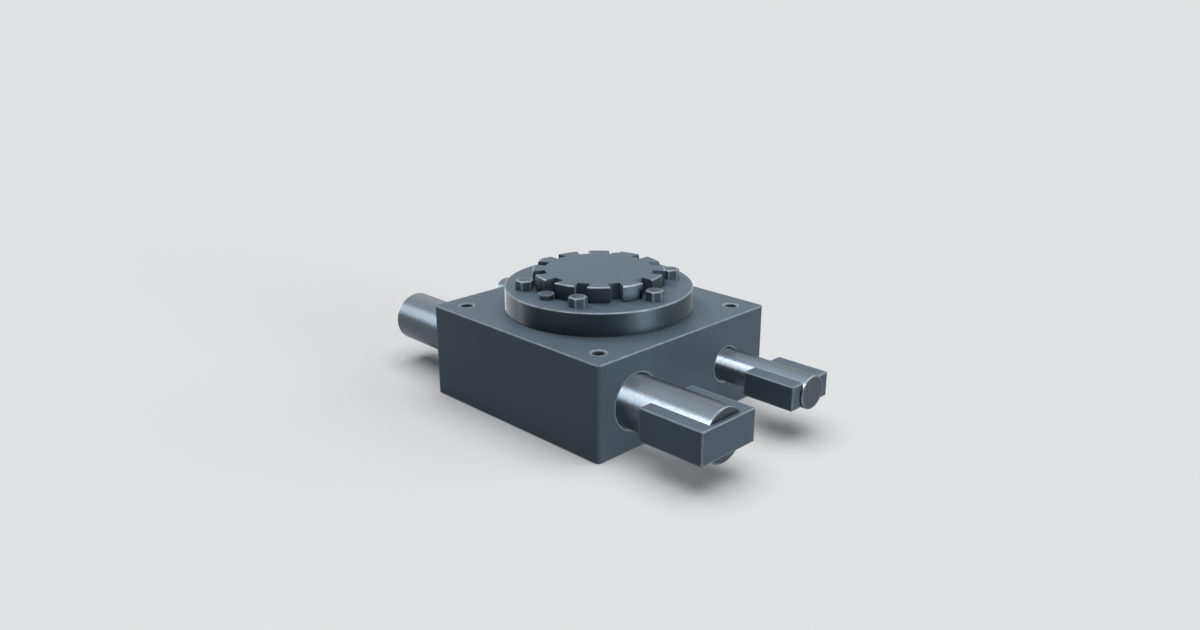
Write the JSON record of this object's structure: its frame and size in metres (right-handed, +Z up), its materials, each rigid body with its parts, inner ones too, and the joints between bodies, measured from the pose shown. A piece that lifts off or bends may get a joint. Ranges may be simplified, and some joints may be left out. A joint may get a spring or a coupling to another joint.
{
  "type": "round rack and pinion",
  "caption": "Square housing with a round cover and slotted cap; inside it a pinion meshes with teeth in a thick and a thin round rod, which slide opposite ways.",
  "frame": {"origin": "centre of the housing's flat bottom face", "axes": "+Z up out of the cover, +X along the rods towards the end that carries the yoke and the clamp, the thick rod on the -Y side"},
  "size_m": [0.188, 0.1, 0.0567],
  "materials": {
    "dark_housing": "satin",
    "dark_cover": "satin",
    "dark_cap": "satin, blackened",
    "dark_fasteners": "satin, blackened",
    "dark_rods": "ground, blackened",
    "dark_blocks": "satin, blackened",
    "gear_steel": "ground",
    "spring_steel": "satin, dark",
    "washer_steel": "ground",
    "bush_bronze": "turned",
    "guide_plastic": "matt",
    "seal_rubber": "matt",
    "gasket_fibre": "matt"
  },
  "bodies": {
    "housing_unit": {"housing": "dark_housing", "cover": "dark_cover", "cover_gasket": "gasket_fibre", "cover_screws": "dark_fasteners", "slotted_cap": "dark_cap", "cap_seal_ring": "seal_rubber", "cap_lock_pin": "dark_fasteners", "lower_bush": "bush_bronze", "upper_bush": "bush_bronze", "thick_guide_front": "guide_plastic", "thick_guide_rear": "guide_plastic", "thick_wiper_front": "seal_rubber", "thick_wiper_rear": "seal_rubber", "thin_guide_front": "guide_plastic", "thin_guide_rear": "guide_plastic", "thin_wiper_front": "seal_rubber", "thin_wiper_rear": "seal_rubber"},
    "pinion": {"pinion_shaft": "gear_steel", "pinion_gear": "gear_steel", "pinion_key": "gear_steel", "gear_circlip": "spring_steel", "spacer_sleeve": "gear_steel", "lower_thrust_washer": "washer_steel", "upper_thrust_washer": "washer_steel"},
    "thick_rod": {"thick_rack": "dark_rods", "thick_yoke": "dark_blocks", "thick_yoke_screws": "dark_fasteners"},
    "thin_rod": {"thin_rack": "dark_rods", "thin_clamp_near": "dark_blocks", "thin_clamp_far": "dark_blocks", "thin_clamp_screws": "dark_fasteners"}
  },
  "joints": [
    {"name": "thick_rod_slide", "type": "slide", "parent": "housing_unit", "child": "thick_rod", "axis": [1, 0, 0], "range_m": [-0.014, 0.014]},
    {"name": "pinion_spin", "type": "hinge", "parent": "housing_unit", "child": "pinion", "pos_m": [0, 0, 0.02], "axis": [0, 0, 1], "range_deg": [-38.2, 38.2]},
    {"name": "thin_rod_slide", "type": "slide", "parent": "housing_unit", "child": "thin_rod", "axis": [1, 0, 0], "range_m": [-0.014, 0.014]}
  ],
  "couplings": [
    {"joint": "pinion_spin", "follows": "thick_rod_slide", "rad_per_m": 47.619},
    {"joint": "thin_rod_slide", "follows": "thick_rod_slide", "ratio": -1}
  ]
}
